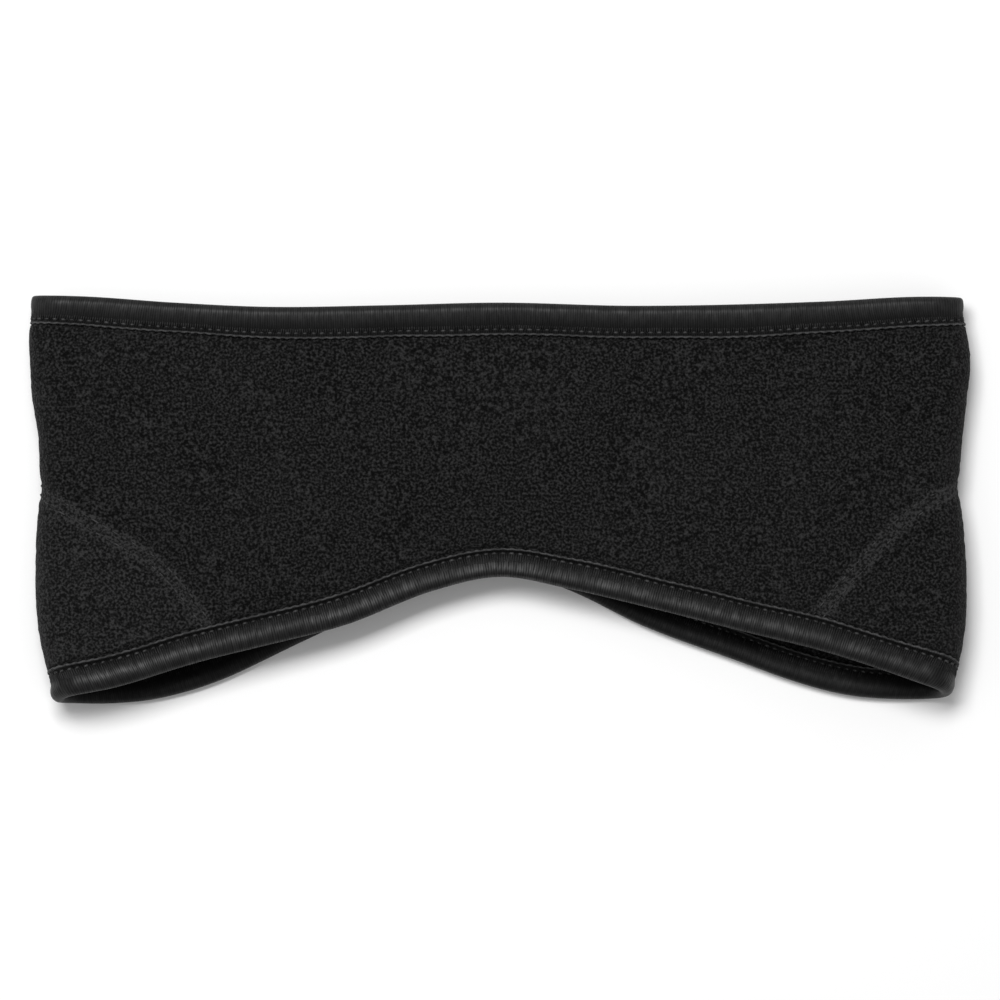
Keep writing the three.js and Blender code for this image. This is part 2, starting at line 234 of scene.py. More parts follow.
def distance_to_ear_seams(station, height):
    """Signed distance to the nearest ear seam, above it if positive."""
    nearest = np.full(np.broadcast(station, height).shape, FLAT_WIDTH)
    for side in EAR_SPAN:
        away = (height - seam_height(side, station)) * np.cos(seam_lean(side, station))
        reached = np.abs(apart(station, EAR_APEX[side])) < NEAR_SEAM * EAR_SPAN[side]
        nearest = np.where(reached & (np.abs(away) < np.abs(nearest)), away, nearest)
    return nearest


def near_fold(station, reach):
    """1 at the middle of a fold, falling to 0 a few times the reach away."""
    return sum(np.exp(-((apart(station, fold) / reach) ** 2)) for fold in FOLD_STATIONS.values())


def loop_section(station):
    """Where a station stands on the flattened loop: how far across, and how far up from back to front."""
    s = station - np.floor(station / LOOP) * LOOP
    right_end = HALF_STRAIGHT + FOLD_LENGTH
    left_start = right_end + 2 * HALF_STRAIGHT
    right_turn = (s - HALF_STRAIGHT) / FOLD_REACH - math.pi / 2
    left_turn = math.pi / 2 - (s - left_start) / FOLD_REACH
    stretches = [s < HALF_STRAIGHT, s < right_end, s < left_start, s < left_start + FOLD_LENGTH]
    across = np.select(
        stretches,
        [
            s,
            HALF_STRAIGHT + FOLD_REACH * np.cos(right_turn),
            right_end + HALF_STRAIGHT - s,
            -HALF_STRAIGHT - FOLD_REACH * np.cos(left_turn),
        ],
        s - LOOP,
    )
    right_rise, left_rise = (1 + np.sin(right_turn)) / 2, (1 + np.sin(left_turn)) / 2
    rise = np.select(stretches, [0 * s, right_rise, 0 * s + 1, left_rise], 0 * s)
    return across, rise


def middle_of(station, height):
    """The middle of the cloth."""
    station, height = np.broadcast_arrays(np.asarray(station, float), np.asarray(height, float))
    across, rise = loop_section(station)
    level = height / SIDE_HEIGHT
    out = np.abs(across) / HALF_STRAIGHT
    draw = np.where(across < 0, fold_draw["left"](level), fold_draw["right"](level))
    spread = LAYER_SPACING * mix(opening["middle"](level), opening["fold"](level), smooth(out))
    to_rim = np.minimum(LOWER.distance(station, height), TOP.distance(station, height))
    lift = mix(BINDING_OUTER, REST_HEIGHT, smooth((to_rim - GRIP_END) / LIFT_REACH))
    x = across - np.sign(across) * FOLD_DRAW * draw * smooth(2 * out - 1)
    return np.stack([x, height - SIDE_HEIGHT / 2, mix(lift, REST_HEIGHT + spread, rise)], axis=-1)


def outward_at(station, height):
    """The direction that points out of the cloth, away from the hollow of the loop."""
    reach = 0.2
    along = middle_of(station + reach, height) - middle_of(station - reach, height)
    upwards = middle_of(station, height + reach) - middle_of(station, height - reach)
    outward = np.cross(upwards, along)
    return outward / np.linalg.norm(outward, axis=-1, keepdims=True)


def cloth_point(station, height, out):
    """A point on the cloth, moved outwards from its middle, and never below what it lies on."""
    point = middle_of(station, height) + outward_at(station, height) * np.asarray(out)[..., None]
    point[..., 2] = np.maximum(point[..., 2], 0)
    return point


def lumps(points, pitch, seed):
    """Smooth random lumps from -1 to 1 in space, about a pitch across."""
    size = 64
    table = np.random.default_rng(seed).uniform(-1, 1, (size, size, size))
    place = points / pitch
    cell = np.floor(place).astype(int)
    share = smooth(place - cell)
    total = np.zeros(points.shape[:-1])
    for corner in itertools.product((0, 1), repeat=3):
        weight = np.prod(np.where(corner, share, 1 - share), axis=-1)
        x, y, z = ((cell[..., i] + corner[i]) % size for i in range(3))
        total += weight * table[x, y, z]
    return total


# The shader and geometry trees.
class Socket:
    """A value in a node tree. Sums and products of it add the Math nodes they need."""

    def __init__(self, tree, socket):
        self.tree, self.socket = tree, socket

    def maths(self, operation, *values):
        sockets = dict(enumerate(values))
        return self.tree.node("ShaderNodeMath", {"operation": operation}, sockets)[0]

    def __add__(self, other):
        return self.maths("ADD", self, other)

    def __radd__(self, other):
        return self.maths("ADD", other, self)

    def __sub__(self, other):
        return self.maths("SUBTRACT", self, other)

    def __rsub__(self, other):
        return self.maths("SUBTRACT", other, self)

    def __mul__(self, other):
        return self.maths("MULTIPLY", self, other)

    def __rmul__(self, other):
        return self.maths("MULTIPLY", other, self)

    def __pow__(self, other):
        return self.maths("POWER", self, other)

    def sine(self):
        return self.maths("SINE", self)

    def least(self, other):
        return self.maths("MINIMUM", self, other)

    def fade(self, start, end):
        """0 before start and 1 past end, with a smooth change between them."""
        settings = {"interpolation_type": "SMOOTHSTEP"}
        return self.tree.node("ShaderNodeMapRange", settings, {0: self, 1: start, 2: end})[0]


class Tree:
    """A node tree whose nodes all come from one method."""

    def __init__(self, tree):
        self.tree = tree

    def node(self, kind, settings=None, sockets=None):
        """Adds a node, sets it up, then gives its sockets values or links. Returns its outputs."""
        made = self.tree.nodes.new(kind)
        for key, value in (settings or {}).items():
            setattr(made, key, value)
        for key, value in (sockets or {}).items():
            if isinstance(value, Socket):
                self.tree.links.new(value.socket, made.inputs[key])
            else:
                made.inputs[key].default_value = value
        return Outputs(self, made)


class Outputs:
    """A node's outputs, by number or by name."""

    def __init__(self, tree, made):
        self.tree, self.made = tree, made

    def __getitem__(self, key):
        return Socket(self.tree, self.made.outputs[key])


def grey(value):
    """A grey with a trace of blue, opaque."""
    return (value, value, value * 1.01, 1.0)


def new_finish(name, **constants):
    """A material with its tree and its principled shader, whose constant values are given here."""
    material = bpy.data.materials.new(name)
    material.use_nodes = True
    tree = Tree(material.node_tree)
    shader = next(n for n in material.node_tree.nodes if n.type == "BSDF_PRINCIPLED")
    for key, value in constants.items():
        shader.inputs[key.replace("_", " ")].default_value = value
    return material, tree, shader


def connect(tree, shader, name, value):
    tree.tree.links.new(value.socket, shader.inputs[name])


def blend_colours(tree, share, low, high):
    return tree.node("ShaderNodeMix", {"data_type": "RGBA"}, {0: share, 6: low, 7: high})[2]


def noise(tree, place, size, detail):
    """Soft random lightness from 0 to 1, whose patches are about a size in millimetres across."""
    sockets = {"Vector": place, "Scale": 1 / (size * MM), "Detail": detail}
    return tree.node("ShaderNodeTexNoise", {}, sockets)["Fac"]


def bumped(tree, height, depth, strength):
    sockets = {"Strength": strength, "Distance": depth * MM, "Height": height}
    return tree.node("ShaderNodeBump", {}, sockets)["Normal"]


def make_fleece():
    """Short-nap fleece: a fine nap of curls under a millimetre across, painted darker in its hollows, and
    seam strips painted lighter as the sheen of their flattened nap.
    """
    material, tree, shader = new_finish(
        "short_nap_fleece", Roughness=0.95, Specular_IOR_Level=0.1, Sheen_Weight=0.03, Sheen_Roughness=0.5
    )
    place = tree.node("ShaderNodeTexCoord")["Object"]
    strip = tree.node("ShaderNodeAttribute", {"attribute_name": "seam_strip"})["Fac"]
    curls = noise(tree, place, size=0.68, detail=0.0)
    fine_curls = noise(tree, place, size=0.38, detail=0.0)
    clouds = (noise(tree, place, size=24, detail=2.0) - 0.5) * 0.1
    pile = curls * 0.66 + fine_curls * 0.34
    # The nap's colour follows the same noise as its bump, lighter at the tips and darker in the hollows:
    # partly its mottled tone, partly painted shade of the nap's self-shadowing.
    pile_tone_and_shade = pile.fade(0.2, 0.8) ** 2
    # The seam strips are painted lighter, the sheen of their flattened nap painted into the colour. The
    # ear panels take their given share of it.
    level = pile_tone_and_shade * (strip * 0.75 + 1) + clouds + strip * 0.11
    connect(tree, shader, "Base Color", blend_colours(tree, level, low=grey(0.0002), high=grey(0.027)))
    connect(tree, shader, "Normal", bumped(tree, pile, depth=0.55, strength=1.0))
    return material


def make_stretch_knit(name, gloss, rim_gloss, shade):
    """Stretch knit of a binding: fine ribs, deepest at the stitches, painted shade between the ribs and
    by the stitches, a painted highlight along the lip, and a soft gloss on the roll.
    """
    material, tree, shader = new_finish(
        name,
        Roughness=0.6,
        Specular_IOR_Level=0.1,
        Sheen_Weight=0.02,
        Sheen_Roughness=0.4,
        Coat_Roughness=0.42,
    )
    layout = tree.node("ShaderNodeUVMap", {"uv_map": "binding"})["UV"]
    parts = tree.node("ShaderNodeSeparateXYZ", {}, {0: layout})
    along, across = parts["X"], parts["Y"]
    place = tree.node("ShaderNodeTexCoord")["Object"]
    from_lip = across.least(2 - across)
    wander = noise(tree, place, size=3, detail=1.0)
    rib = ((along * (2 * math.pi / RIB_PITCH)) + wander * 4).sine() * 0.5 + 0.5
    near_stitches = 1 - from_lip.fade(0.3, 0.62)
    outside = 1 - across.fade(0.9, 1.1) * 0.6
    ribs = rib * (near_stitches * 0.45 + 0.55) * outside
    loops = noise(tree, place, size=0.5, detail=1.0)
    uneven = (noise(tree, place, size=9, detail=2.0) - 0.5) * 0.3
    # The strands run across the binding, so their place is stretched that way.
    stretched = tree.node("ShaderNodeCombineXYZ", {}, {0: along * MM, 1: across * (2 * MM)})[0]
    strands = noise(tree, stretched, size=0.7, detail=1.0).fade(0.35, 0.65)
    # The ribs' colour follows their bump, with painted shade between them that is strongest by the
    # stitches; the knit is also painted darker towards the lip, as shade in the stitches' groove.
    level = ribs * 0.5 + strands * 0.15 + loops * 0.3 + uneven + from_lip.fade(0.15, 0.6) * 0.25
    # Painted shade where the stitches draw the knit in.
    knit_tone_and_shade = level * (1 - near_stitches * 0.4)
    knit = blend_colours(tree, knit_tone_and_shade, low=grey(0.0003), high=grey(shade))
    # A painted highlight along the lip, where the fold of the binding catches the light, broken up along
    # its length.
    broken = noise(tree, place, size=1.2, detail=0.0).fade(0.4, 0.6) * 0.45 + 0.55
    lip_highlight = (1 - from_lip.fade(0.03, 0.085)) * broken
    connect(tree, shader, "Base Color", blend_colours(tree, lip_highlight, low=knit, high=grey(0.062)))
    taut = from_lip.fade(0.26, 0.6) * (1 - from_lip.fade(0.84, 1) * (1 - rim_gloss)) * gloss
    streaks = noise(tree, place, size=4, detail=2.0).fade(0.3, 0.7)
    shine = (rib * 0.32 + strands * 0.22) * outside * (streaks * 0.6 + 0.7)
    connect(tree, shader, "Coat Weight", taut * shine)
    connect(tree, shader, "Normal", bumped(tree, ribs * 0.8 + loops * 0.4, depth=0.14, strength=1.0))
    return material


def make_plain(name, size, dark, light, gloss):
    """Thread or a gathered rib of knit: a fine twist, lighter in some places than in others."""
    material, tree, shader = new_finish(name, Roughness=0.55, Specular_IOR_Level=gloss)
    place = tree.node("ShaderNodeTexCoord")["Object"]
    strands = noise(tree, place, size, detail=1.0)
    patches = noise(tree, place, size=2, detail=1.0)
    level = strands.fade(0.3, 0.7) * 0.5 + patches.fade(0.35, 0.65) * 0.5
    connect(tree, shader, "Base Color", blend_colours(tree, level, low=grey(dark), high=grey(light)))
    connect(tree, shader, "Normal", bumped(tree, strands, depth=0.08, strength=0.6))
    return material


fleece_finish = make_fleece()
# One knit for both bindings, painted lighter on the top binding and darker on the lower one, to match how
# each faces the lamp.
top_knit_finish = make_stretch_knit("stretch_knit_above", gloss=0.54, rim_gloss=0.1, shade=0.0155)
lower_knit_finish = make_stretch_knit("stretch_knit_below", gloss=0.82, rim_gloss=0.9, shade=0.0085)
rib_finish = make_plain("gathered_knit", size=0.4, dark=0.002, light=0.021, gloss=0.14)
thread_finish = make_plain("sewing_thread", size=0.3, dark=0.003, light=0.046, gloss=0.25)
seam_thread_finish = make_plain("seam_thread", size=0.5, dark=0.004, light=0.046, gloss=0.15)


def add_piece(name, mesh, finish, nodes=()):
    for polygon in mesh.polygons:
        polygon.use_smooth = True
    mesh.materials.clear()
    mesh.materials.append(finish)
    piece = bpy.data.objects.new(name, mesh)
    bpy.context.scene.collection.objects.link(piece)
    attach(piece, "root")
    if nodes:
        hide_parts(*nodes)
    return piece


# Columns and rows of points on the outer face of the band, of an ear panel and of a binding. The inner
# face of the fleece has one in so many of them.
BAND_COLUMNS, BAND_ROWS = 720, 117
EAR_COLUMNS, EAR_ROWS = 261, 97
BINDING_COLUMNS = 1480
INNER_COLUMN_STEP, INNER_ROW_STEP = 2, 4
# Points along the path of a row of stitches, round the loop and along an ear seam.
ROW_POINTS, SEAM_POINTS = 2400, 1500


def strip_faces(first, second, skip, closed):
    """Faces between a fine row of point numbers and a coarse one that has every skip-th column."""
    count = len(second) if closed else len(second) - 1
    faces = []
    for j in range(count):
        fine = [first[(skip * j + k) % len(first)] for k in range(skip + 1)]
        faces.append([*fine, second[(j + 1) % len(second)], second[j]])
    return faces


def two_faced_mesh(name, outer, inner, closed):
    """A closed mesh of cloth from a fine outer grid of points and an inner one with fewer of them."""
    columns, rows = outer.shape[:2]
    inner_columns, inner_rows = inner.shape[:2]
    outer_index = np.arange(columns * rows).reshape(columns, rows)
    inner_index = np.arange(inner_columns * inner_rows).reshape(inner_columns, inner_rows)
    inner_index = inner_index + columns * rows

    def quads(index, outwards):
        here = index if closed else index[:-1]
        after = np.roll(index, -1, axis=0) if closed else index[1:]
        corners = [here[:, :-1], here[:, 1:], after[:, 1:], after[:, :-1]]
        faces = np.stack(corners if outwards else corners[::-1], axis=-1)
        return faces.reshape(-1, 4).tolist()

    faces = quads(outer_index, True) + quads(inner_index, False)
    low = strip_faces(outer_index[:, 0], inner_index[:, 0], INNER_COLUMN_STEP, closed)
    high = strip_faces(outer_index[:, -1], inner_index[:, -1], INNER_COLUMN_STEP, closed)
    faces += low + [face[::-1] for face in high]
    if not closed:
        start = strip_faces(outer_index[0], inner_index[0], INNER_ROW_STEP, False)
        end = strip_faces(outer_index[-1], inner_index[-1], INNER_ROW_STEP, False)
        faces += [face[::-1] for face in start] + end
    points = np.concatenate([outer.reshape(-1, 3), inner.reshape(-1, 3)])
    mesh = bpy.data.meshes.new(name)
    mesh.from_pydata((points * MM).tolist(), [], faces)
    mesh.validate()
    return mesh


# Half the fleece's thickness at an ear seam and at the centre back seam, and over what distance it fills
# out past them and past a lip. A row of stitches in an ear seam stands up as a ridge of this height.
EAR_SEAM_HALF, EAR_SEAM_FILL = 1.0, (1.9, 1.8)
BACK_SEAM_HALF, BACK_SEAM_FILL = 0.75, 3
LIP_FILL = (0.2, 1.05)
RIDGE_HEIGHT, RIDGE_WIDTH = 0.12, 0.5
# The lips and grooves of the bindings flatten within this distance of a fold.
FOLD_SPREAD = 10


def half_thickness(station, height):
    """Half the fleece's thickness: pressed in the bindings and at the seams, full elsewhere."""
    half = np.full(np.broadcast(station, height).shape, FLEECE / 2)
    for rim in (LOWER, TOP):
        past_lip = rim.distance(station, height) - rim.width(station)
        rise = smooth((past_lip - LIP_FILL[0] + 0.7 * near_fold(station, FOLD_SPREAD)) / LIP_FILL[1])
        half = np.minimum(half, mix(GRIPPED / 2, FLEECE / 2, rise))
    to_seam = np.abs(distance_to_ear_seams(station, height))
    ridge = RIDGE_HEIGHT * np.exp(-(((to_seam - SEAM_ROW) / RIDGE_WIDTH) ** 2))
    filling = smooth((to_seam - EAR_SEAM_FILL[0]) / EAR_SEAM_FILL[1])
    half = np.minimum(half, mix(EAR_SEAM_HALF, FLEECE / 2, filling) + ridge)
    to_back_seam = np.abs(apart(station, 0)) + 0 * height
    return np.minimum(half, mix(BACK_SEAM_HALF, FLEECE / 2, smooth(to_back_seam / BACK_SEAM_FILL)))


def strip_share(station, height):
    """How much of the seam strip's flattened nap shows, and of its painted sheen: 1 on its two ridges,
    less between them.
    """
    to_seam = np.abs(distance_to_ear_seams(station, height))
    return (1 - smooth((to_seam - 1.7) / 1.1)) * mix(0.9, 1, smooth(to_seam / SEAM_ROW))


# Random relief of the nap and the cloth, and of a binding's roll: height, pitch and seed.
PEBBLES = [(0.11, 1.5, 11), (0.05, 0.8, 12)]
WAVES = [(0.16, 14, 13), (0.22, 34, 14)]
ROLL_WAVES = [(0.06, 2.6, 20), (0.09, 6, 21), (0.12, 16, 22)]


def relief(points, rows):
    return sum(height * lumps(points, pitch, seed) for height, pitch, seed in rows)


def nap_relief(station, height, points):
    """Pebbles of the nap and soft waves of the cloth, fading out in the bindings' grip."""
    past_lip = np.minimum(
        LOWER.distance(station, height) - LOWER.width(station),
        TOP.distance(station, height) - TOP.width(station),
    )
    free = smooth(past_lip / 2)
    pebbles = relief(points, PEBBLES) * (1 - 0.7 * strip_share(station, height))
    return free * (pebbles + relief(points, WAVES))


def every_inner(grid):
    """The columns and rows of a grid that the inner face has too."""
    return grid[::INNER_COLUMN_STEP, ::INNER_ROW_STEP]


def fleece_grids(stations, heights):
    """The outer and inner grids of points over a column of heights at each station."""
    station = stations[:, None] + 0 * heights
    half = half_thickness(station, heights)
    outer = cloth_point(station, heights, half)
    outer = cloth_point(station, heights, half + nap_relief(station, heights, outer))
    station, heights, half = every_inner(station), every_inner(heights), every_inner(half)
    inner = cloth_point(station, heights, -half)
    return outer, cloth_point(station, heights, -half - 0.5 * nap_relief(station, heights, inner))


def row_heights(stations, lower, upper, rows):
    """Heights of the rows at each station: close together by lips and seams, far apart in the grip."""
    fine_shares = np.linspace(0, 1, 600)
    heights = mix(lower[:, None], upper[:, None], fine_shares[None, :])
    station = stations[:, None] + 0 * heights
    need = 1 + 1.2 * np.exp(-((distance_to_ear_seams(station, heights) / 2.4) ** 2))
    for rim in (LOWER, TOP):
        past_lip = rim.distance(station, heights) - rim.width(station)
        need = need + 2 * np.exp(-(((past_lip - 0.8) / 1.1) ** 2))
        need = np.where(past_lip < -0.4, 0.3, need)
    total = np.cumsum(need, axis=1)
    total = (total - total[:, :1]) / (total[:, -1:] - total[:, :1])
    wanted = np.linspace(0, 1, rows)
    return np.stack([np.interp(wanted, *pair) for pair in zip(total, heights)])


def mark_strip(mesh, strip):
    """Stores how much of the seam strip shows at each point of the outer face, then of the inner one."""
    values = np.concatenate([strip.ravel(), every_inner(strip).ravel()])
    attribute = mesh.attributes.new("seam_strip", "FLOAT", "POINT")
    attribute.data.foreach_set("value", np.ascontiguousarray(values, np.float32))


def make_band():
    """The loop of fleece from the top rim down to the lower rim and the ear seams."""
    stations = np.arange(BAND_COLUMNS) / BAND_COLUMNS * LOOP
    lower = LOWER.height_at(stations, EDGE_INSET)
    for side in EAR_SPAN:
        reached = np.abs(apart(stations, EAR_APEX[side])) < PAST_SEAM * EAR_SPAN[side]
        seam = seam_height_at(side, stations, SEAM_GAP / 2)
        lower = np.where(reached, np.maximum(lower, seam), lower)
    upper = TOP.height_at(stations, EDGE_INSET)
    heights = row_heights(stations, lower, upper, BAND_ROWS)
    mesh = two_faced_mesh("band_fleece", *fleece_grids(stations, heights), True)
    mark_strip(mesh, strip_share(stations[:, None] + 0 * heights, heights))
    return add_piece("band_fleece", mesh, fleece_finish, ["main_band"])


def ear_reach(side, direction):
    """The distance from an ear's apex at which its panel has narrowed to its cut tip."""
    near, far = EAR_SPAN[side] / 2, EAR_SPAN[side] * PAST_SEAM
    for _ in range(40):
        middle = (near + far) / 2
        station = np.array([EAR_APEX[side] + direction * middle])
        height = seam_height_at(side, station, -SEAM_GAP / 2) - LOWER.height_at(station, EDGE_INSET)
        near, far = (middle, far) if height[0] > TIP_HEIGHT else (near, middle)
    return near


def ear_stations(side, count):
    """Stations from the back tip of an ear panel to its front tip, or the other way round on the left."""
    return EAR_APEX[side] + np.linspace(-ear_reach(side, -1), ear_reach(side, 1), count)


def make_ear(side):
    """An ear panel: a half moon of fleece between its seam and the lower rim."""
    stations = ear_stations(side, EAR_COLUMNS)
    lower = LOWER.height_at(stations, EDGE_INSET)
    upper = seam_height_at(side, stations, -SEAM_GAP / 2)
    heights = row_heights(stations, lower, upper, EAR_ROWS)
    name = f"{side}_ear_fleece"
    mesh = two_faced_mesh(name, *fleece_grids(stations, heights), False)
    # Each panel is painted lighter by its share of the seam strip's lightening.
    mark_strip(mesh, mix(EAR_LIGHTENING[side], 1, strip_share(stations[:, None] + 0 * heights, heights)))
    return add_piece(name, mesh, fleece_finish, [f"ear_panel_{side}"])


# Outer leg of a binding from lip to rim: the distance from the rim as a share of its width, and how
# far out it stands. The inner leg mirrors it.
BINDING_LEG = [
    (1, 0.98), (0.995, 1.3), (0.985, 1.5), (0.97, 1.6), (0.95, 1.56), (0.93, 1.36), (0.905, 1.12),
    (0.875, 1.0), (0.845, 0.96), (0.81, 0.96), (0.77, 1.0), (0.71, 1.12), (0.65, 1.29), (0.58, 1.5),
    (0.515, 1.69), (0.455, 1.84), (0.39, 1.95), (0.32, 2.0), (0.25, 1.98), (0.19, 1.88), (0.135, 1.7),
    (0.085, 1.44), (0.045, 1.09), (0.016, 0.66), (0, 0),
]
STITCH_ROW = 0.825
# How deep the stitches draw the outer face in along their row, and how much that swings from stitch to
# stitch, at the row, in the gathered knit beside it and at the lip, which also steps to and fro.
ROW_DEPTH, ROW_SWING = 0.26, 0.22
GATHER_SWING, LIP_SWING, LIP_STEP = 0.05, 0.07, 0.014


def unit(vectors):
    return vectors / np.linalg.norm(vectors, axis=-1, keepdims=True)


def leg_height(stations, share):
    """How far out a binding's outer face stands. At a fold its lip and groove lie nearly flat."""
    leg = np.array(BINDING_LEG[::-1])
    out = np.interp(share, leg[:, 0], leg[:, 1])
    flattened = 0.75 * near_fold(stations, FOLD_SPREAD) * smooth((share - 0.45) / 0.2)
    return mix(out, 1.45, flattened)


def binding_point(rim, stations, share, out):
    """A point of a binding, at a share of its width from the rim and square to it."""
    distance = share * rim.width(stations) * rim.inward
    lean = rim.lean(stations)
    height = rim.height(stations) + distance * np.cos(lean)
    return cloth_point(stations - distance * np.sin(lean), height, out + 0 * height)


def binding_row(rim, face, share, sink=0.0):
    """Points in a row on the outer (1) or inner (-1) leg of a binding, and the ways out and across."""
    stations = np.arange(ROW_POINTS) / ROW_POINTS * LOOP
    lip_side, points, rim_side = (
        binding_point(rim, stations, share + shift, face * (leg_height(stations, share + shift) - sink))
        for shift in (0.03, 0, -0.03)
    )
    across = unit(rim_side - lip_side)
    along = np.roll(points, -1, axis=0) - np.roll(points, 1, axis=0)
    out = unit(np.cross(along, across))
    return points, out * rim.inward * face, across


def path_shares(points):
    """The share of a closed path's length at each of its points, and the length."""
    steps = np.linalg.norm(np.roll(points, -1, axis=0) - points, axis=1)
    ends = np.cumsum(steps)
    return np.concatenate([[0], ends[:-1]]) / ends[-1], ends[-1]


def count_round(rim, pitch):
    return round(path_shares(binding_row(rim, 1, STITCH_ROW)[0])[1] / pitch)


def make_binding(name, rim, finish, node):
    """A binding folded over a rim, drawn in between the stitches, with a scalloped lip."""
    stations = np.arange(BINDING_COLUMNS)[:, None] / BINDING_COLUMNS * LOOP
    row_shares = path_shares(binding_row(rim, 1, STITCH_ROW)[0])[0]
    row_stations = np.arange(len(row_shares)) / len(row_shares) * LOOP
    stitches = count_round(rim, STITCH_PITCH) * np.interp(stations, row_stations, row_shares)
    pull = np.cos(2 * math.pi * stitches)
    leg = np.array(BINDING_LEG)
    lining = np.array([(0.97, -0.75), (0.82, -0.6), (0.6, -BINDING_INNER), (0.14, -BINDING_INNER)])
    section = np.concatenate([leg, leg[-2::-1] * [1, -1], lining, lining[::-1] * [1, -1]])
    share, out = section[:, 0] + 0 * pull, section[:, 1] + 0 * pull
    on_legs = np.abs(section[:, 1]) > 0.9
    out = np.where(on_legs, np.sign(out) * leg_height(stations, share), out)
    on_roll = smooth(share / 0.3) * smooth((0.75 - share) / 0.35)
    share = share - 0.1 * rim.turns(stations / LOOP) * on_roll
    # The top corners are creased sharp at the folds.
    creased = near_fold(stations, FOLD_SPREAD / 2) * (rim is TOP)
    share = share * (1 - 0.7 * creased * (1 - smooth(share / 0.45)))
    on_face = np.abs(out) > 0.95
    near_row = np.exp(-(((share - STITCH_ROW) / 0.05) ** 2)) * on_face
    near_lip = smooth((share - 0.9) / 0.08) * on_face
    gathered = smooth((share - 0.4) / 0.3) * smooth((0.95 - share) / 0.1) * on_face
    dent = near_row * (ROW_DEPTH - ROW_SWING * pull)
    dent = dent + (LIP_SWING * near_lip - GATHER_SWING * gathered) * pull
    crest = smooth(share / 0.15) * smooth((0.85 - share) / 0.3) * on_face
    slack = crest * relief(binding_point(rim, stations, share, out), ROLL_WAVES)
    out = out + np.sign(out) * (slack - dent)
    points = binding_point(rim, stations, share + LIP_STEP * near_lip * pull, out)
    count = section.shape[0]
    index = np.arange(BINDING_COLUMNS * count).reshape(BINDING_COLUMNS, count)
    ahead = np.roll(index, -1, axis=0)
    faces = [index, np.roll(index, -1, axis=1), np.roll(ahead, -1, axis=1), ahead]
    # The map runs along the rim in millimetres, and across from 0 at one lip to 2 at the other.
    across = np.where(section[:, 1] >= 0, 1 - section[:, 0], 1 + section[:, 0])
    along = np.arange(BINDING_COLUMNS + 1) / BINDING_COLUMNS * LOOP
    here, after = (np.repeat(a[:, None], count, axis=1) for a in (along[:-1], along[1:]))
    level, over = (
        np.repeat(a[None, :], BINDING_COLUMNS, axis=0) for a in (across, np.roll(across, -1))
    )
    maps = [(here, level), (here, over), (after, over), (after, level)]
    if rim.inward > 0:
        faces, maps = faces[::-1], maps[::-1]
    mesh = bpy.data.meshes.new(name)
    quads = np.stack(faces, axis=-1).reshape(-1, 4)
    mesh.from_pydata((points.reshape(-1, 3) * MM).tolist(), [], quads.tolist())
    corners = np.stack([np.stack(pair, axis=-1) for pair in maps], axis=2)
    mesh.uv_layers.new(name="binding").data.foreach_set("uv", corners.astype(np.float32).ravel())
    return add_piece(name, mesh, finish, [node])


def add_input(tree, name, kind, value=None):
    made = tree.interface.new_socket(name=name, in_out="INPUT", socket_type=kind)
    if value is not None:
        made.default_value = value
    return made.identifier


def bowed_lengths_tree():
    """Bowed lengths on a path, whose ends dive into the cloth: stitches, or ribs drawn up by them."""
    group = bpy.data.node_groups.new("bowed_lengths_on_path", "GeometryNodeTree")
    names = {
        "Path": add_input(group, "Path", "NodeSocketGeometry"),
        "Count": add_input(group, "Count", "NodeSocketInt", 100),
        "Length": add_input(group, "Length", "NodeSocketFloat", 0.0012),
        "Thread": add_input(group, "Thread", "NodeSocketFloat", 0.0004),
        "Dip": add_input(group, "Dip", "NodeSocketFloat", 0.0003),
        "Seed": add_input(group, "Seed", "NodeSocketInt", 1),
        "Finish": add_input(group, "Finish", "NodeSocketMaterial"),
    }
    group.interface.new_socket(name="Laid", in_out="OUTPUT", socket_type="NodeSocketGeometry")
    tree = Tree(group)
    given = tree.node("NodeGroupInput")
    path = tree.node("GeometryNodeMeshToCurve", {}, {"Mesh": given["Path"]})[0]
    even = tree.node(
        "GeometryNodeResampleCurve", {"mode": "COUNT"}, {"Curve": path, "Count": given["Count"]}
    )[0]
    outward, lengthwise = (
        tree.node("GeometryNodeInputNamedAttribute", {"data_type": "FLOAT_VECTOR"}, {"Name": name})[0]
        for name in ("outward", "lengthwise")
    )
    turned = tree.node(
        "FunctionNodeAxesToRotation",
        {"primary_axis": "Z", "secondary_axis": "X"},
        {0: outward, 1: lengthwise},
    )[0]
    half = given["Length"] * 0.5
    start = tree.node("ShaderNodeCombineXYZ", {}, {0: half * -1, 2: given["Dip"] * -1})[0]
    crown = tree.node("ShaderNodeCombineXYZ", {}, {2: given["Dip"]})[0]
    end = tree.node("ShaderNodeCombineXYZ", {}, {0: half, 2: given["Dip"] * -1})[0]
    bow = tree.node("GeometryNodeCurveQuadraticBezier", {}, {0: 6, 1: start, 2: crown, 3: end})[0]
    ring = tree.node(
        "GeometryNodeCurvePrimitiveCircle", {}, {"Resolution": 5, "Radius": given["Thread"] * 0.5}
    )[0]
    thread = tree.node(
        "GeometryNodeCurveToMesh", {}, {"Curve": bow, "Profile Curve": ring, "Fill Caps": True}
    )[0]
    size = tree.node(
        "FunctionNodeRandomValue", {"data_type": "FLOAT"}, {2: 0.88, 3: 1.12, "Seed": given["Seed"]}
    )[1]
    laid = tree.node(
        "GeometryNodeInstanceOnPoints",
        {},
        {"Points": even, "Instance": thread, "Rotation": turned, "Scale": size},
    )[0]
    real = tree.node("GeometryNodeRealizeInstances", {}, {"Geometry": laid})[0]
    shown = tree.node("GeometryNodeSetMaterial", {}, {"Geometry": real, "Material": given["Finish"]})[0]
    tree.node("NodeGroupOutput", {}, {0: shown})
    return group, names


lengths_group, lengths_inputs = bowed_lengths_tree()


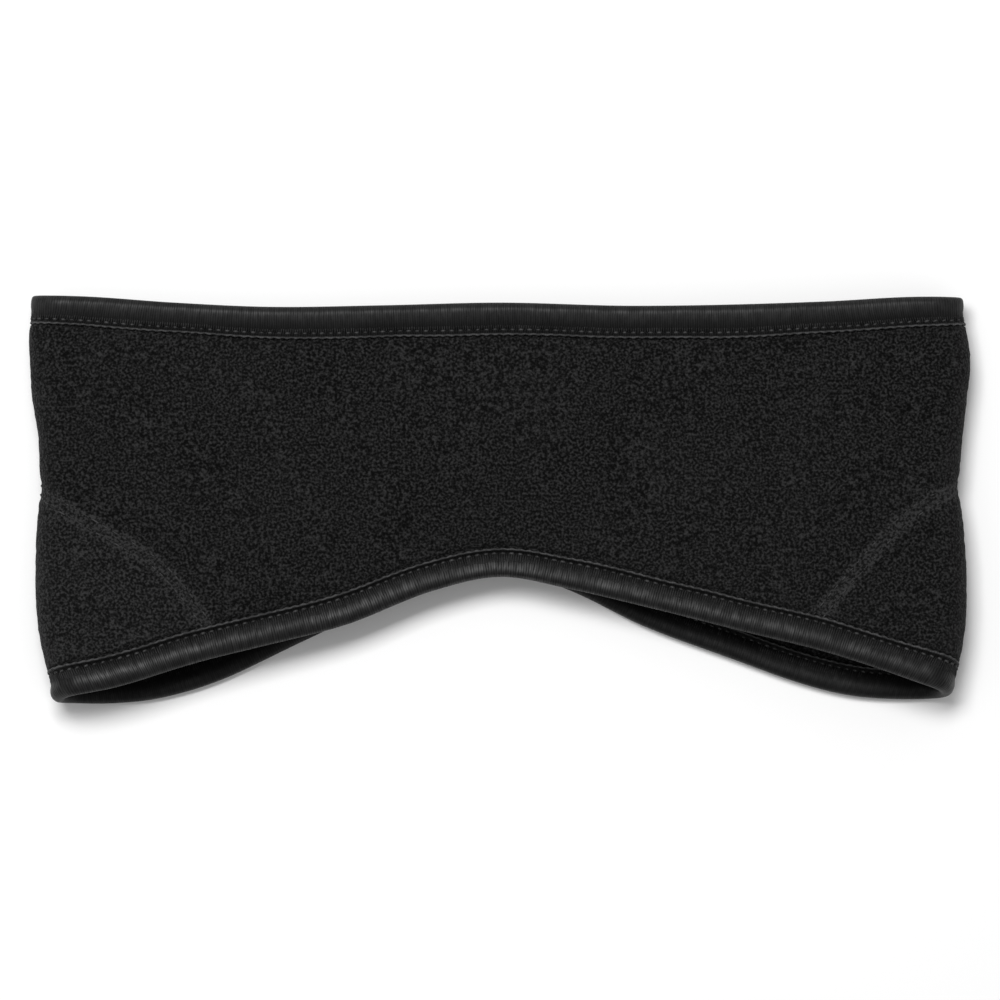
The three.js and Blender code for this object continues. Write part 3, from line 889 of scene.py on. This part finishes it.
def grown_mesh(name, carrier, group, inputs, values):
    """Runs a geometry tree on a carrier mesh and returns what it makes as a plain mesh."""
    helper = bpy.data.objects.new(name + "_carrier", carrier)
    bpy.context.scene.collection.objects.link(helper)
    modifier = helper.modifiers.new("grow", "NODES")
    modifier.node_group = group
    for key, value in values.items():
        modifier[inputs[key]] = value
    depsgraph = bpy.context.evaluated_depsgraph_get()
    mesh = bpy.data.meshes.new_from_object(helper.evaluated_get(depsgraph))
    helper.modifiers.remove(modifier)
    bpy.data.objects.remove(helper)
    mesh.name = name
    return mesh


def laid_lengths(name, rows, count, length, thread, dip, seed, finish, slot):
    """Lengths laid along rows of points with their outward and lengthwise directions, closed or not."""
    edges, first = [], 0
    for row in rows:
        last = first + len(row[0]) - 1
        edges += [(i, i + 1) for i in range(first, last)]
        edges += [(last, first)] if row[3] else []
        first = last + 1
    carrier = bpy.data.meshes.new(name + "_path")
    carrier.from_pydata((np.concatenate([row[0] for row in rows]) * MM).tolist(), edges, [])
    for column, key in ((1, "outward"), (2, "lengthwise")):
        attribute = carrier.attributes.new(key, "FLOAT_VECTOR", "POINT")
        vectors = np.concatenate([row[column] for row in rows])
        attribute.data.foreach_set("vector", vectors.astype(np.float32).ravel())
    values = {
        "Count": count,
        "Length": length * MM,
        "Thread": thread * MM,
        "Dip": dip * MM,
        "Seed": seed,
        "Finish": finish,
    }
    mesh = grown_mesh(name, carrier, lengths_group, lengths_inputs, values)
    places = np.empty(3 * len(mesh.vertices), np.float32)
    mesh.vertices.foreach_get("co", places)
    places[2::3] = np.maximum(places[2::3], 0)
    mesh.vertices.foreach_set("co", places)
    return add_piece(name, mesh, finish)


def binding_stitches(name, rim, seed):
    """The row of stitches that holds a binding, outside and inside the loop."""
    rows = []
    for face, sink in ((1, 0.1), (-1, 0.2)):
        points, out, across = binding_row(rim, face, STITCH_ROW, sink)
        rows.append((points, out, np.cross(out, across), True))
    count = count_round(rim, STITCH_PITCH)
    sizes = {"length": 0.76, "thread": 0.7, "dip": 0.3}
    return laid_lengths(name, rows, count, seed=seed, finish=thread_finish, slot="binding", **sizes)


def binding_ribs(name, rim, share, length, seed):
    """The ribs of knit that the stitches draw up, across both legs of a binding."""
    rows = [(*binding_row(rim, face, share, sink), True) for face, sink in ((1, 0.06), (-1, 0.14))]
    count = count_round(rim, RIB_PITCH)
    sizes = {"length": length, "thread": 0.4, "dip": 0.16}
    return laid_lengths(name, rows, count, seed=seed, finish=rib_finish, slot="binding", **sizes)


def seam_path(side, offset, sink):
    """Points along an ear seam between the lips of the lower binding, and the ways out and across."""
    stations = ear_stations(side, SEAM_POINTS)
    height = seam_height_at(side, stations, offset)
    shown = LOWER.distance(stations, height) > LOWER.width(stations) + 0.6
    stations, height = stations[shown], height[shown]
    points = cloth_point(stations, height, half_thickness(stations, height) - sink)
    out = outward_at(stations, height)
    return points, out, unit(np.cross(out, np.gradient(points, axis=0)))


def seam_stitches(side, seed):
    """The two rows of stitches of an ear seam, sunk in the nap."""
    rows = [seam_path(side, offset, 0.05) for offset in (-SEAM_ROW, SEAM_ROW)]
    rows = [(points, out, np.cross(across, out), False) for points, out, across in rows]
    length = np.linalg.norm(np.diff(rows[0][0], axis=0), axis=1).sum()
    count = round(length / SEAM_STITCH_PITCH)
    sizes = {"length": 1.7, "thread": 0.45, "dip": 0.2}
    name = f"{side}_ear_seam_stitches"
    return laid_lengths(name, rows, count, seed=seed, finish=seam_thread_finish, slot="fleece", **sizes)


# The camera looks straight down, with the top rim at the top of the picture.
PIXEL = 0.266 * MM
PICTURE = 1000
MID_LEVEL = 8 * MM

camera_data = bpy.data.cameras.new("camera")
camera_data.lens = 300
camera_data.sensor_width = 36
camera = bpy.data.objects.new("camera", camera_data)
bpy.context.scene.collection.objects.link(camera)
distance = PIXEL * PICTURE * camera_data.lens / camera_data.sensor_width
camera.location = (0, 0, MID_LEVEL + distance)
camera_data.clip_end = 10
bpy.context.scene.camera = camera

band = make_band()
ears = {side: make_ear(side) for side in EAR_SPAN}
top_binding = make_binding("top_edge_binding", TOP, top_knit_finish, "top_binding")
lower_binding = make_binding("lower_edge_binding", LOWER, lower_knit_finish, "bottom_binding")
top_stitches = binding_stitches("top_edge_stitches", TOP, seed=31)
lower_stitches = binding_stitches("lower_edge_stitches", LOWER, seed=32)
top_ribs = binding_ribs("top_edge_ribs", TOP, share=0.755, length=1.3, seed=41)
lower_ribs = binding_ribs("lower_edge_ribs", LOWER, share=0.68, length=2.3, seed=42)
ear_stitches = {side: seam_stitches(side, 33 + i) for i, side in enumerate(EAR_SPAN)}

# A pale floor, with plain soft light that comes mostly from beyond the top rim.
floor_mesh = bpy.data.meshes.new("floor")
floor_side, floor_level = 6.0, -0.2 * MM
floor_mesh.from_pydata(
    [(x * floor_side, y * floor_side, floor_level) for x, y in ((-1, -1), (1, -1), (1, 1), (-1, 1))],
    [],
    [(0, 1, 2, 3)],
)
floor = bpy.data.objects.new("floor", floor_mesh)
bpy.context.scene.collection.objects.link(floor)
floor_finish, _, floor_shader = new_finish("pale_floor", Roughness=0.9, Specular_IOR_Level=0.1)
floor_shader.inputs["Base Color"].default_value = (0.9, 0.9, 0.9, 1)
floor_mesh.materials.append(floor_finish)


def add_lamp(name, place, size, power):
    data = bpy.data.lights.new(name, "AREA")
    data.shape, data.size, data.energy = "SQUARE", size, power
    lamp = bpy.data.objects.new(name, data)
    lamp.location = place
    x, y, z = -np.array(place) / np.linalg.norm(place)
    lamp.rotation_euler = (math.atan2(math.hypot(x, y), -z), 0, math.atan2(x, -y))
    bpy.context.scene.collection.objects.link(lamp)
    lamp.visible_camera = False


add_lamp("key", place=(-0.6, 1.25, 2.7), size=1.5, power=128)
world = bpy.data.worlds.new("studio")
bpy.context.scene.world = world
world.use_nodes = True
world.node_tree.nodes["Background"].inputs["Color"].default_value = (1, 1, 1, 1)
world.node_tree.nodes["Background"].inputs["Strength"].default_value = 0.45
bpy.context.scene.view_settings.view_transform = "Standard"
